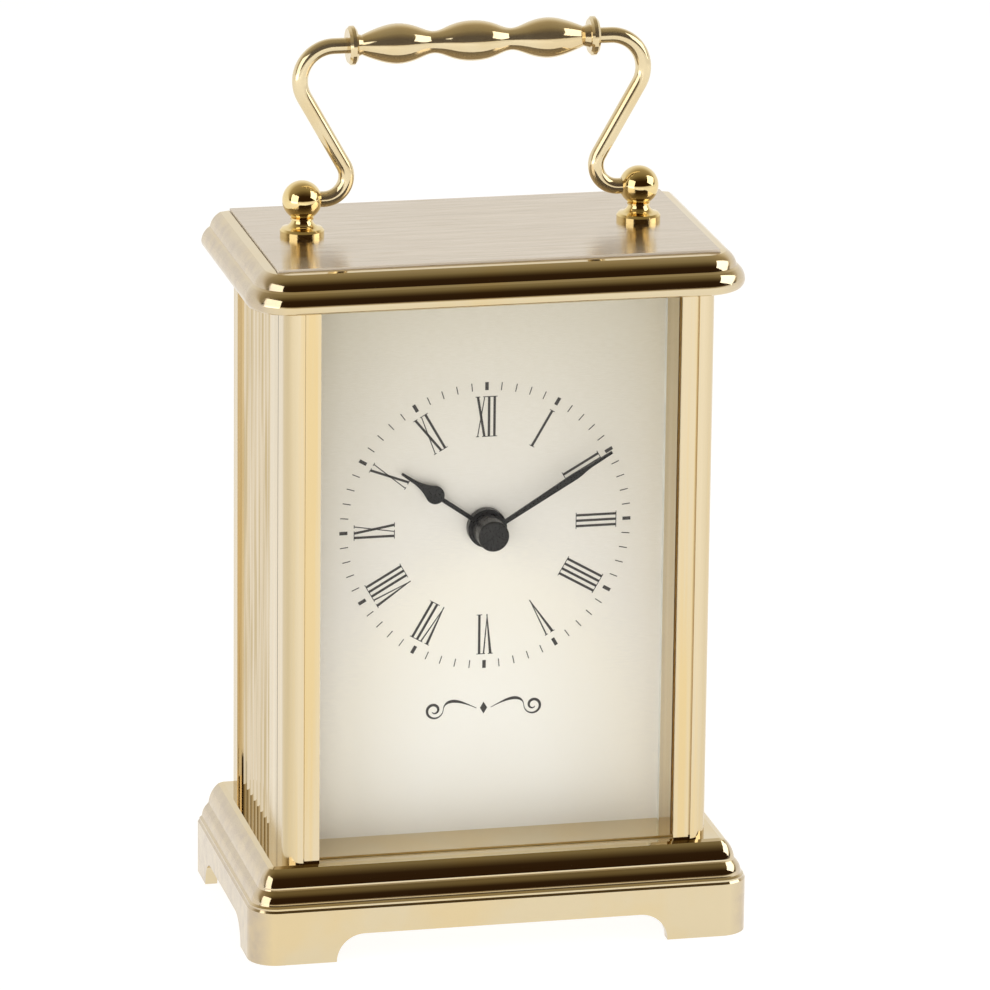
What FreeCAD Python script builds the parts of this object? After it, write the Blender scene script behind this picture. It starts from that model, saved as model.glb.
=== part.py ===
"""Carriage-style mantel clock with a quartz movement, as a parametric FreeCAD document.

The clock stands on the XY plane: +X is its right, +Y its back and +Z up. The origin lies on the
table, under the middle of the base. Every length is in millimetres.
"""
import FreeCAD, Part
import math
import os
import Sketcher

from FreeCAD import Placement, Rotation, Vector

doc = FreeCAD.newDocument("MantelClock")

# ---------------------------------------------------------------- driving dimensions
DIMENSIONS = [
    ("base_width", 90.0, "width of the base over its apron"),
    ("base_depth", 52.0, "depth of the base over its apron"),
    ("base_top", 16.8, "height of the base's flat top"),
    ("base_radius", 5.0, "plan radius of the base's front corners"),
    ("cornice_radius", 8.0, "plan radius of the cornice's front corners"),
    ("foot_rise", 5.0, "height of the openings between the feet"),
    ("foot_opening", 59.8, "width of the openings in the front and back aprons"),
    ("side_opening_front", 14.9, "front end of the side openings, ahead of the middle"),
    ("side_opening_back", 18.6, "back end of the side openings, behind the middle"),
    ("cornice_width", 88.6, "width of the cornice over its lower bead"),
    ("cornice_front", 22.9, "reach of the cornice ahead of the middle"),
    ("cornice_low", 116.7, "height of the cornice's underside"),
    ("plate_top", 123.8, "height of the top plate's upper face"),
    ("plate_thick", 1.5, "thickness of the top plate"),
    ("plate_inset", 5.1, "step from the cornice's edge in to the top plate"),
    ("opening_half", 32.0, "half the clear width between the pillars"),
    ("pillar_out", 38.2, "outer face of the front pillars"),
    ("pillar_front", 21.0, "reach of the front pillars' round columns ahead of the middle"),
    ("rear_pillar_out", 38.5, "outer face of the rear pillars"),
    ("rear_pillar_back", 25.6, "back face of the rear pillars"),
    ("panel_out", 37.5, "outer face of the fluted side panels"),
    ("flute_pitch", 3.15, "distance from one flute to the next"),
    ("flute_count", 8, "flutes on each side panel"),
    ("glass_front", 19.9, "front face of the glass, ahead of the middle"),
    ("glass_thick", 1.7, "thickness of the glass"),
    ("glass_seat", 0.5, "depth of the glass's seats in the base and in the cornice"),
    ("dial_front", 8.5, "face of the dial, ahead of the middle"),
    ("dial_thick", 0.7, "thickness of the dial"),
    ("backing_thick", 1.3, "thickness of the plate behind the dial"),
    ("dial_height", 73.1, "height of the hands' axis"),
    ("movement_size", 56.0, "width and height of the movement's case"),
    ("movement_deep", 16.0, "depth of the movement's case with its cover"),
    ("wall", 1.2, "wall of the movement's case"),
    ("post_gap", 60.5, "distance between the two handle posts"),
    ("post_back", 5.5, "handle posts' distance behind the middle"),
    ("ball_height", 130.0, "height of the balls' centres, which is the handle's axis"),
    ("ball_radius", 3.5, "radius of the balls"),
    ("wire_radius", 1.4, "radius of the handle's wire"),
    ("grip_height", 157.3, "height of the grip's axis when the handle stands up"),
    ("grip_half", 22.3, "half the length of the grip"),
    ("gear_pitch", 0.25, "module of the drive train's gears"),
    ("running", 0.05, "radial running clearance of a pivot"),
]

sheet = doc.addObject("Spreadsheet::Sheet", "Sizes")
for row, (alias, number, meaning) in enumerate(DIMENSIONS, start=1):
    sheet.set("A%d" % row, meaning)
    sheet.set("B%d" % row, str(number))
    sheet.setAlias("B%d" % row, alias)
doc.recompute()


class Size:
    """A length that carries its number and the sheet expression that gives it."""

    def __init__(self, number, text):
        self.number = number
        self.text = text

    def joined(self, sign, other, number):
        return Size(number, "(%s %s %s)" % (self.text, sign, as_size(other).text))

    def __add__(self, other):
        return self.joined("+", other, self.number + as_size(other).number)

    def __sub__(self, other):
        return self.joined("-", other, self.number - as_size(other).number)

    def __mul__(self, other):
        return self.joined("*", other, self.number * as_size(other).number)

    def __truediv__(self, other):
        return self.joined("/", other, self.number / as_size(other).number)

    def __neg__(self):
        return Size(-self.number, "(0 - %s)" % self.text)

    __radd__ = __add__


def as_size(value):
    """Give a plain number the form of a Size."""
    return value if isinstance(value, Size) else Size(float(value), "%.6f" % value)


def dimension(alias):
    """The sheet's cell with this alias, as a Size."""
    return Size(float(sheet.get(alias)), "Sizes.%s" % alias)


base_width = dimension("base_width")
base_depth = dimension("base_depth")
base_top = dimension("base_top")
cornice_low = dimension("cornice_low")
plate_top = dimension("plate_top")
plate_low = plate_top - dimension("plate_thick")
cornice_half = dimension("cornice_width") / 2
cornice_front = -dimension("cornice_front")
base_back = base_depth / 2
opening_half = dimension("opening_half")
pillar_out = dimension("pillar_out")
pillar_front = -dimension("pillar_front")
rear_pillar_out = dimension("rear_pillar_out")
rear_pillar_back = dimension("rear_pillar_back")
panel_out = dimension("panel_out")
glass_front = -dimension("glass_front")
glass_back = glass_front + dimension("glass_thick")
glass_seat = dimension("glass_seat")
dial_front = -dimension("dial_front")
dial_back = dial_front + dimension("dial_thick")
backing_back = dial_back + dimension("backing_thick")
dial_height = dimension("dial_height")
case_half = dimension("movement_size") / 2
case_front = backing_back
wall = dimension("wall")
cover_back = case_front + dimension("movement_deep")
cover_front = cover_back - wall
post_x = dimension("post_gap") / 2
post_y = dimension("post_back")
ball_height = dimension("ball_height")
ball_radius = dimension("ball_radius")
wire_radius = dimension("wire_radius")
grip_height = dimension("grip_height")
running = dimension("running")

PILLAR_STRIP_FRONT = pillar_front + 0.5
PILLAR_BACK = dial_front - 1.4          # leaves room for the white spacers in front of the dial
SIDE_TONGUE = 36.0                      # inner face of the front pillars' side strips
PANEL_FRONT = -4.7
PANEL_BACK = 22.0
REAR_LEG_FRONT = 16.5                   # inner legs of the rear pillars, which take the screws
REAR_LEG_OUT = 35.9
DOOR_PIVOT = (-30.0, 22.2)              # x and y of the back door's pins
DOOR_PIN = 0.8
SCREW_SHANK = 1.25
SCREW_HOLE = 1.3
SCREW_PLACES = [(35.2, -14.5), (33.95, 19.2)]     # in the right front and right rear pillar
PILLAR_SCREWS = [(side * x, y) for side in (1, -1) for x, y in SCREW_PLACES]


# ---------------------------------------------------------------- helpers
def bind(thing, **sizes):
    """Bind properties of an object to sheet expressions; a plain number is set as it is."""
    for name, value in sizes.items():
        if isinstance(value, Size):
            thing.setExpression(name, value.text)
        else:
            setattr(thing, name, value)


def put(thing, x, y, z):
    """Bind an object's place."""
    for axis, value in (("x", x), ("y", y), ("z", z)):
        thing.setExpression("Placement.Base.%s" % axis, as_size(value).text)
    return thing


def box(label, xs, ys, zs):
    """A block between two limits along each axis."""
    block = doc.addObject("Part::Box", label)
    block.Label = label
    spans = [as_size(high) - low for low, high in (xs, ys, zs)]
    bind(block, Length=spans[0], Width=spans[1], Height=spans[2])
    return put(block, xs[0], ys[0], zs[0])


TURN_TO = {
    "x": Rotation(Vector(0, 1, 0), 90),
    "y": Rotation(Vector(1, 0, 0), -90),
    "z": Rotation(),
}


def rod(label, radius, axis, start, end, across):
    """A round rod along one axis; across gives its place on the two other axes in X, Y, Z order."""
    bar = doc.addObject("Part::Cylinder", label)
    bar.Label = label
    bind(bar, Radius=as_size(radius), Height=as_size(end) - start)
    bar.Placement = Placement(Vector(), TURN_TO[axis])
    place = list(across)
    place.insert("xyz".index(axis), start)
    return put(bar, *place)


def rods(label, radius, axis, start, end, places):
    """The same rod at several places."""
    return [rod("%s_%d" % (label, index), radius, axis, start, end, across)
            for index, across in enumerate(places)]


def cut(label, body, tools):
    """The body with every tool cut away."""
    tool = tools[0] if len(tools) == 1 else fuse(label + "_tools", tools)
    result = doc.addObject("Part::Cut", label)
    result.Label = label
    result.Base = body
    result.Tool = tool
    return result


def fuse(label, pieces):
    """The pieces joined into one shape."""
    result = doc.addObject("Part::MultiFuse", label)
    result.Label = label
    result.Shapes = pieces
    return result


def shaped(label, shape, place=(0.0, 0.0, 0.0)):
    """A feature whose shape is computed from the sheet's numbers, moved to its place."""
    feature = doc.addObject("Part::Feature", label)
    feature.Label = label
    feature.Shape = shape
    return put(feature, *place)


def outline_sketch(body, role, label, corners, offset):
    """A closed sketch on one of the body's own planes.

    Each corner is (across, up), or (across, up, radius) for a round edge that arrives at that
    corner: a positive radius bulges to the left of the way along the outline, a negative one to
    the right. Each corner and radius is bound to the sheet.
    """
    sketch = body.newObject("Sketcher::SketchObject", label)
    plane = next(item for item in body.Origin.OriginFeatures if item.Role == role)
    sketch.AttachmentSupport = [(plane, "")]
    sketch.MapMode = "FlatFace"
    sketch.setExpression("AttachmentOffset.Base.z", as_size(offset).text)
    points = [Vector(as_size(c[0]).number, as_size(c[1]).number, 0) for c in corners]
    count = len(points)
    starts = []
    for index in range(count):
        begin = points[index]
        end = points[(index + 1) % count]
        arrival = corners[(index + 1) % count]
        if len(arrival) == 2:
            sketch.addGeometry(Part.LineSegment(begin, end), False)
            starts.append((1, 2))
        else:
            radius = as_size(arrival[2]).number
            chord = end - begin
            left = Vector(-chord.y, chord.x, 0).normalize()
            reach = abs(radius) - math.sqrt(max(radius ** 2 - (chord.Length / 2) ** 2, 0.0))
            middle = (begin + end) * 0.5 + left * math.copysign(reach, radius)
            sketch.addGeometry(Part.Arc(begin, middle, end), False)
            forward = (sketch.getPoint(index, 1) - begin).Length < 1e-6
            starts.append((1, 2) if forward else (2, 1))
    for index in range(count):
        after = (index + 1) % count
        sketch.addConstraint(Sketcher.Constraint("Coincident", index, starts[index][1],
                                                 after, starts[after][0]))
    for index, corner in enumerate(corners):
        for kind, value in (("DistanceX", corner[0]), ("DistanceY", corner[1])):
            value = as_size(value)
            number = sketch.addConstraint(Sketcher.Constraint(
                kind, -1, 1, index, starts[index][0], value.number))
            sketch.setExpression("Constraints[%d]" % number, value.text)
    for index in range(count):
        arrival = corners[(index + 1) % count]
        if len(arrival) == 3:
            number = sketch.addConstraint(Sketcher.Constraint(
                "Radius", index, abs(as_size(arrival[2]).number)))
            bound = arrival[2] if as_size(arrival[2]).number > 0 else -as_size(arrival[2])
            sketch.setExpression("Constraints[%d]" % number, as_size(bound).text)
    return sketch


def padded(label, role, corners, offset, length):
    """A PartDesign body: an outline on one of its planes, padded along the plane's normal."""
    body = doc.addObject("PartDesign::Body", label)
    body.Label = label
    sketch = outline_sketch(body, role, label + "_outline", corners, offset)
    pad = body.newObject("PartDesign::Pad", label + "_pad")
    pad.Profile = sketch
    bind(pad, Length=as_size(length))
    sketch.Visibility = False
    return body


def facing(label, corners, front, back):
    """A flat piece that faces the front, between two distances along Y."""
    return padded(label, "XZ_Plane", corners, -as_size(back), as_size(back) - front)


def upright(label, corners, low, high):
    """A bar with one section all the way up."""
    return padded(label, "XY_Plane", corners, low, as_size(high) - low)


def group(label, solids):
    """Identical fasteners or pins in one node, as separate solids."""
    compound = doc.addObject("Part::Compound", label)
    compound.Label = label
    compound.Links = solids
    return compound


def turned(label, role, corners, axis_name, place):
    """A PartDesign body turned about an axis of its sketch, then moved to its place."""
    body = doc.addObject("PartDesign::Body", label)
    body.Label = label
    sketch = outline_sketch(body, role, label + "_outline", corners, 0)
    spin = body.newObject("PartDesign::Revolution", label + "_spin")
    spin.Profile = sketch
    spin.ReferenceAxis = (sketch, [axis_name])
    spin.Angle = 360
    sketch.Visibility = False
    return put(body, *place)


def mirrored_corners(corners):
    """The same outline on the other side, with its round edges still bulging the same way."""
    flipped = []
    count = len(corners)
    for index in range(count):
        corner = corners[-index % count]
        arrival = corners[(1 - index) % count]
        flipped.append((-as_size(corner[0]), corner[1]) + tuple(arrival[2:]))
    return flipped


def both_sides(corners):
    """Right and left versions of an outline, with the side's name."""
    return (("right", corners), ("left", mirrored_corners(corners)))


# ---------------------------------------------------------------- mouldings
def arc_edge(begin, middle, end):
    return Part.Arc(Vector(*begin), Vector(*middle), Vector(*end)).toShape()


def line_edge(begin, end):
    return Part.LineSegment(Vector(*begin), Vector(*end)).toShape()


def moulding(section, half_width, front, back, radius):
    """A moulding that runs round the front and both sides of a block.

    The section is a list of (inset, height) points from the bottom up; a third point between two
    others, marked "via", makes that stretch an arc. The front corners are turned about vertical
    axes, one radius in from both faces.
    """
    low = section[0][1]
    high = section[-1][1]

    def at(point):
        return (radius - point[0], 0.0, point[1])

    edges = []
    index = 0
    while index < len(section) - 1:
        if len(section[index + 1]) == 3:
            edges.append(arc_edge(at(section[index]), at(section[index + 1]),
                                  at(section[index + 2])))
            index += 2
        else:
            edges.append(line_edge(at(section[index]), at(section[index + 1])))
            index += 1
    last = at(section[-1])
    edges.append(line_edge(last, (0.0, 0.0, high)))
    edges.append(line_edge((0.0, 0.0, high), (0.0, 0.0, low)))
    edges.append(line_edge((0.0, 0.0, low), at(section[0])))
    face = Part.Face(Part.Wire(edges))
    corner_x = half_width - radius
    corner_y = front + radius
    pieces = []
    for side, angle in ((1, -90), (-1, 180)):
        turn = face.copy()
        turn.rotate(Vector(), Vector(0, 0, 1), angle)
        turn.translate(Vector(side * corner_x, corner_y, 0))
        pieces.append(turn.revolve(Vector(side * corner_x, corner_y, 0), Vector(0, 0, 1), 90))
        flank = face.copy()
        flank.rotate(Vector(), Vector(0, 0, 1), 0 if side > 0 else 180)
        flank.translate(Vector(side * corner_x, corner_y, 0))
        pieces.append(flank.extrude(Vector(0, back - corner_y, 0)))
    run = face.copy()
    run.rotate(Vector(), Vector(0, 0, 1), -90)
    run.translate(Vector(-corner_x, corner_y, 0))
    pieces.append(run.extrude(Vector(2 * corner_x, 0, 0)))
    core = Part.makeBox(2 * corner_x, back - corner_y, high - low,
                        Vector(-corner_x, corner_y, low))
    return core.multiFuse(pieces).removeSplitter()


def make_base():
    """Base casting: apron with feet, two beads, a hollow underside and seats for glass and pins."""
    section = [
        (0.0, 0.0), (0.0, 9.6), (0.27, 10.0), (0.3, 10.3), (0.72, 10.62), (0.77, 10.85),
        (1.1, 11.95, "via"), (1.65, 12.7), (1.95, 13.05), (2.0, 13.3), (2.03, 13.55),
        (2.7, 15.3, "via"), (3.75, 16.55), (4.65, base_top.number),
    ]
    solid = shaped("base_solid", moulding(section, base_width.number / 2,
                                          -base_back.number, base_back.number,
                                          dimension("base_radius").number))
    half = base_width / 2
    rise = dimension("foot_rise")
    spread = dimension("foot_opening") / 2
    front_end = -dimension("side_opening_front")
    back_end = dimension("side_opening_back")
    below = -1.0
    arch = [(-spread, below), (spread, below), (spread, 0.0), (spread - rise, rise, -rise),
            (-spread + rise, rise), (-spread, 0.0, -rise)]
    side_arch = [(front_end, below), (back_end, below), (back_end, 0.0),
                 (back_end - rise, rise, -rise), (front_end + rise, rise),
                 (front_end, 0.0, -rise)]
    tools = [
        facing("base_front_arch", arch, -base_back - 1, base_back + 1),
        padded("base_side_arch", "YZ_Plane", side_arch, -half - 1, base_width + 2),
        box("base_hollow_low", (-half + 2.2, half - 2.2), (-base_back + 2.2, base_back - 2.2),
            (-1.0, 8.6)),
        box("base_hollow_high", (-half + 5.5, half - 5.5), (-base_back + 5.5, base_back - 2.2),
            (8.0, base_top - 3.0)),
        box("base_glass_seat", (-opening_half - 1.2, opening_half + 1.2),
            (glass_front - 0.1, glass_back + 0.1), (base_top - glass_seat, base_top + 1.0)),
        rod("base_door_seat", DOOR_PIN, "z", base_top - 2.0, base_top + 1.0, DOOR_PIVOT),
    ]
    tools += rods("base_hole", SCREW_HOLE, "z", base_top - 4.0, base_top + 1.0, PILLAR_SCREWS)
    return cut("base_moulding", solid, tools)


def make_cornice():
    """Cornice: two beads round the front and sides, with a tray on top for the top plate."""
    low = cornice_low.number
    section = [
        (0.9, low), (0.53, low + 0.22), (0.12, low + 0.84, "via"), (0.0, low + 1.47),
        (0.33, low + 2.7, "via"), (1.1, low + 3.7), (1.5, low + 3.97), (1.55, low + 4.02),
        (2.22, low + 5.55, "via"), (3.4, low + 6.52), (4.9, low + 6.7),
    ]
    solid = shaped("cornice_solid", moulding(section, cornice_half.number,
                                             cornice_front.number, base_back.number,
                                             dimension("cornice_radius").number))
    inset = dimension("plate_inset")
    tools = [
        box("cornice_tray", (-cornice_half + inset - 0.1, cornice_half - inset + 0.1),
            (cornice_front + inset - 0.1, base_back + 1), (plate_low, plate_top + 2)),
        box("cornice_hollow", (-31.0, 31.0), (-17.0, 20.8), (cornice_low - 1, cornice_low + 4)),
        box("cornice_glass_seat", (-opening_half - 1.2, opening_half + 1.2),
            (glass_front - 0.1, glass_back + 0.1), (cornice_low - 1, cornice_low + glass_seat)),
        rod("cornice_door_seat", DOOR_PIN, "z", cornice_low - 1, cornice_low + 2, DOOR_PIVOT),
    ]
    posts = [(post_x, post_y), (-post_x, post_y)]
    tools += rods("cornice_post_hole", 1.6, "z", cornice_low - 1, plate_top, posts)
    tools += rods("cornice_nut_pocket", 3.8, "z", cornice_low - 1, cornice_low + 4, posts)
    tools += rods("cornice_hole", SCREW_HOLE, "z", cornice_low - 1, plate_top, PILLAR_SCREWS)
    tools += rods("cornice_sink", 2.5, "z", plate_low - 1.8, plate_top, PILLAR_SCREWS)
    return cut("cornice", solid, tools)


def make_top_plate():
    inset = dimension("plate_inset")
    plate = box("top_plate_blank", (-cornice_half + inset, cornice_half - inset),
                (cornice_front + inset, base_back), (plate_low, plate_top))
    holes = rods("top_plate_hole", 1.6, "z", plate_low - 1, plate_top + 1,
                 [(post_x, post_y), (-post_x, post_y)])
    return cut("top_plate", plate, holes)


# ---------------------------------------------------------------- pillars, panels, glass
def make_front_pillars():
    """Front pillars: a flat strip beside the glass, a round-cornered column and a side strip."""
    corner = 3.2
    section = [
        (opening_half, PILLAR_STRIP_FRONT), (opening_half + 2.7, PILLAR_STRIP_FRONT),
        (opening_half + 2.7, PILLAR_STRIP_FRONT + 0.5),
        (opening_half + 2.95, PILLAR_STRIP_FRONT + 0.5), (opening_half + 2.95, pillar_front),
        (pillar_out - corner, pillar_front), (pillar_out, pillar_front + corner, -corner),
        (pillar_out, -13.7), (pillar_out - 0.3, -13.7), (pillar_out - 0.3, -13.4),
        (pillar_out, -13.4), (pillar_out, -8.5), (pillar_out - 0.35, -8.5),
        (pillar_out - 0.35, PANEL_FRONT), (SIDE_TONGUE, PANEL_FRONT), (SIDE_TONGUE, PILLAR_BACK),
        (opening_half, PILLAR_BACK), (opening_half, glass_back + 0.1),
        (opening_half + 1.3, glass_back + 0.1), (opening_half + 1.3, glass_front - 0.1),
        (opening_half, glass_front - 0.1),
    ]
    x, y = SCREW_PLACES[0]
    return [drilled_bar("pillar_front_" + name, corners, x if name == "right" else -x, y)
            for name, corners in both_sides(section)]


def make_back_pillars():
    """Rear pillars: a plain bar at the corner with an inner leg that takes the screws."""
    section = [
        (opening_half, PANEL_BACK), (opening_half, rear_pillar_back),
        (rear_pillar_out, rear_pillar_back), (rear_pillar_out, PANEL_BACK),
        (REAR_LEG_OUT, PANEL_BACK), (REAR_LEG_OUT, REAR_LEG_FRONT),
        (opening_half, REAR_LEG_FRONT),
    ]
    x, y = SCREW_PLACES[1]
    return [drilled_bar("pillar_back_" + name, corners, x if name == "right" else -x, y)
            for name, corners in both_sides(section)]


def drilled_bar(label, corners, x, y):
    """A pillar with a blind screw hole in each end."""
    bar = upright(label + "_bar", corners, base_top, cornice_low)
    holes = [rod(label + "_low_hole", SCREW_HOLE, "z", base_top - 1, base_top + 7, (x, y)),
             rod(label + "_high_hole", SCREW_HOLE, "z", cornice_low - 7, cornice_low + 1, (x, y))]
    return cut(label, bar, holes)


def make_side_panels():
    """Side panels with a row of concave flutes on the outside."""
    panels = []
    pitch = dimension("flute_pitch")
    count = dimension("flute_count")
    flute_radius = 2.1
    flute_deep = 0.55
    spare = (as_size(PANEL_BACK) - PANEL_FRONT - pitch * (count - 1)) / 2
    for side, name in ((1, "right"), (-1, "left")):
        label = "side_panel_" + name
        inner = REAR_LEG_OUT + 0.1
        corners = [(panel_out * side, PANEL_FRONT), (panel_out * side, PANEL_BACK),
                   (inner * side, PANEL_BACK), (inner * side, PANEL_FRONT)]
        body = upright(label, corners, base_top, cornice_low)
        doc.recompute()
        cutter = body.newObject("Sketcher::SketchObject", label + "_flute")
        plane = next(f for f in body.Origin.OriginFeatures if f.Role == "XY_Plane")
        cutter.AttachmentSupport = [(plane, "")]
        cutter.MapMode = "FlatFace"
        centre = (panel_out + flute_radius - flute_deep) * side
        first = spare + PANEL_FRONT
        cutter.addGeometry(Part.Circle(Vector(centre.number, first.number, 0),
                                       Vector(0, 0, 1), flute_radius), False)
        for kind, value in (("DistanceX", centre), ("DistanceY", first)):
            number = cutter.addConstraint(Sketcher.Constraint(kind, -1, 1, 0, 3, value.number))
            cutter.setExpression("Constraints[%d]" % number, value.text)
        cutter.addConstraint(Sketcher.Constraint("Radius", 0, flute_radius))
        cutter.Visibility = False
        doc.recompute()
        flute = body.newObject("PartDesign::Pocket", label + "_groove")
        flute.Profile = cutter
        flute.Type = "ThroughAll"
        flute.Reversed = True
        doc.recompute()
        row_of_flutes = body.newObject("PartDesign::LinearPattern", label + "_row")
        row_of_flutes.Originals = [flute]
        along = next(f for f in body.Origin.OriginFeatures if f.Role == "Y_Axis")
        row_of_flutes.Direction = (along, [""])
        bind(row_of_flutes, Length=pitch * (count - 1))
        row_of_flutes.setExpression("Occurrences", count.text)
        body.Tip = row_of_flutes
        panels.append(body)
    return panels


def make_front_glass():
    edge = 1.1
    return box("front_glass", (-opening_half - edge, opening_half + edge),
               (glass_front, glass_back),
               (base_top - glass_seat + 0.1, cornice_low + glass_seat - 0.1))


def make_dial_parts():
    """Dial, its backing plate and the two white spacers that hold it off the pillars."""
    half = SIDE_TONGUE - 0.3
    hub_hole = 3.3
    dial = cut("dial_plate",
               box("dial_blank", (-half, half), (dial_front, dial_back), (base_top, cornice_low)),
               [rod("dial_hole", hub_hole, "y", dial_front - 1, dial_back + 1,
                    (0.0, dial_height))])
    holes = [rod("backing_hole", hub_hole, "y", dial_back - 1, backing_back + 1,
                 (0.0, dial_height))]
    holes += rods("backing_screw_hole", 1.0, "y", dial_back - 1, backing_back + 1,
                  at_axis(MOVEMENT_SCREWS))
    holes += rods("backing_screw_sink", 2.1, "y", dial_back - 1, dial_back + 0.8,
                  at_axis(MOVEMENT_SCREWS))
    backing = cut("movement_plate",
                  box("backing_blank", (-half, half), (dial_back, backing_back),
                      (base_top, cornice_low)), holes)
    spacers = []
    for name, xs in (("right", (opening_half, half)), ("left", (-as_size(half), -opening_half))):
        spacers.append(box("dial_spacer_" + name, xs, (PILLAR_BACK, dial_front),
                           (base_top, cornice_low)))
    return [dial, backing] + spacers


# ---------------------------------------------------------------- back door
def make_back_door():
    """Back door with a rolled hinge edge, its knob, and the two pins that it turns on."""
    x, y = DOOR_PIVOT
    low = base_top + 0.3
    high = cornice_low - 0.3
    roll = 1.4
    plate = box("door_plate", (x, 31.2), (y - 0.6, y + 0.6), (low, high))
    tube = rod("door_roll", roll, "z", low, high, (x, y))
    bores = [rod("door_bore_low", running + DOOR_PIN, "z", low - 1, low + 8, (x, y)),
             rod("door_bore_high", running + DOOR_PIN, "z", high - 8, high + 1, (x, y)),
             rod("door_knob_hole", 1.05, "y", y - 2, y + 2, (26.0, 67.0))]
    door = cut("back_door", fuse("door_leaf", [plate, tube]), bores)
    pin_low = rod("door_pin_low", DOOR_PIN, "z", base_top - 2.0, low + 7, (x, y))
    pin_high = rod("door_pin_high", DOOR_PIN, "z", high - 7, cornice_low + 2.0, (x, y))
    pins = group("door_pins", [pin_low, pin_high])
    outside = 0.6
    knob = turned("door_knob", "XY_Plane", [
        (0.0, -0.6), (1.0, -0.6), (1.0, outside), (1.6, outside), (1.2, 1.6), (2.0, 2.0),
        (2.45, 2.8, -1.2), (2.0, 3.5, -1.2), (0.0, 3.7),
    ], "V_Axis", (26.0, y, 67.0))
    catch = box("door_catch", (29.4, opening_half), (18.9, 21.5), (64.0, 70.0))
    return [door, knob, pins, catch]


# ---------------------------------------------------------------- posts, handle, fasteners
def make_posts():
    """Turned posts with a ball on top; the handle's wire turns in the ball."""
    posts = []
    neck = 1.8
    meet = math.sqrt(ball_radius.number ** 2 - neck ** 2)
    for side, name in ((1, "right"), (-1, "left")):
        foot = plate_top.number
        profile = [
            (0.0, 118.2), (1.5, 118.2), (1.5, foot), (3.9, foot), (3.9, foot + 0.9),
            (3.55, foot + 1.3), (2.9, foot + 1.5), (neck + 0.2, foot + 2.3, 1.6),
            (neck, foot + 2.75), (neck + 0.25, foot + 2.85), (neck + 0.25, foot + 3.15),
            (neck, ball_height - meet), (0.0, ball_height + ball_radius, -ball_radius),
        ]
        post = turned("post_%s_turned" % name, "YZ_Plane", profile, "V_Axis",
                      (post_x * side, post_y, 0.0))
        inner = post_x - ball_radius - 1
        deep = post_x + 1.75
        span = (inner, deep) if side > 0 else (-deep, -inner)
        bore = rod("post_%s_bore" % name, wire_radius + running, "x", span[0], span[1],
                   (post_y, ball_height))
        posts.append(cut("post_" + name, post, [bore]))
    return posts


def make_post_nuts():
    """Hexagon nuts that hold both posts, and with them the top plate, from inside."""
    nuts = []
    for side in (1, -1):
        across = 3.2
        corners = [(post_x * side + across * math.cos(math.radians(60 * k)),
                    post_y + across * math.sin(math.radians(60 * k))) for k in range(6)]
        blank = upright("post_nut_blank_%d" % side, corners, cornice_low + 1.7, cornice_low + 4)
        hole = rod("post_nut_hole_%d" % side, 1.55, "z", cornice_low, cornice_low + 5,
                   (post_x * side, post_y))
        nuts.append(cut("post_nut_%d" % side, blank, [hole]))
    return group("post_nuts", nuts)


def wire_path(side):
    """The handle wire's centre line on one side: in from the ball, up and out, then in again."""
    y = post_y.number
    low_z = ball_height.number
    top_z = grip_height.number
    low_radius, low_x = 4.0, 26.4
    top_radius, top_x = 6.0, 24.7
    low_centre = (low_x, low_z + low_radius)
    top_centre = (top_x, top_z - top_radius)
    # The straight stretch is the inner tangent of the two bends.
    dx = top_centre[0] - low_centre[0]
    dz = top_centre[1] - low_centre[1]
    apart = math.hypot(dx, dz)
    lean = math.atan2(dz, dx) - math.asin((low_radius + top_radius) / apart)

    def on_arc(centre, radius, angle):
        return Vector(side * (centre[0] + radius * math.cos(angle)), y,
                      centre[1] + radius * math.sin(angle))

    low_end = lean + math.pi / 2
    top_start = lean - math.pi / 2
    start = Vector(side * (post_x.number + 1.3), y, low_z)
    low_begin = on_arc(low_centre, low_radius, 1.5 * math.pi)
    low_middle = on_arc(low_centre, low_radius, (1.5 * math.pi + low_end) / 2)
    low_finish = on_arc(low_centre, low_radius, low_end)
    top_begin = on_arc(top_centre, top_radius, top_start)
    top_middle = on_arc(top_centre, top_radius, (top_start + math.pi / 2) / 2)
    top_finish = on_arc(top_centre, top_radius, math.pi / 2)
    end = Vector(side * (dimension("grip_half").number - 4.0), y, top_z)
    edges = [
        Part.LineSegment(start, low_begin).toShape(),
        Part.Arc(low_begin, low_middle, low_finish).toShape(),
        Part.LineSegment(low_finish, top_begin).toShape(),
        Part.Arc(top_begin, top_middle, top_finish).toShape(),
        Part.LineSegment(top_finish, end).toShape(),
    ]
    return Part.Wire(edges), start


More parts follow.
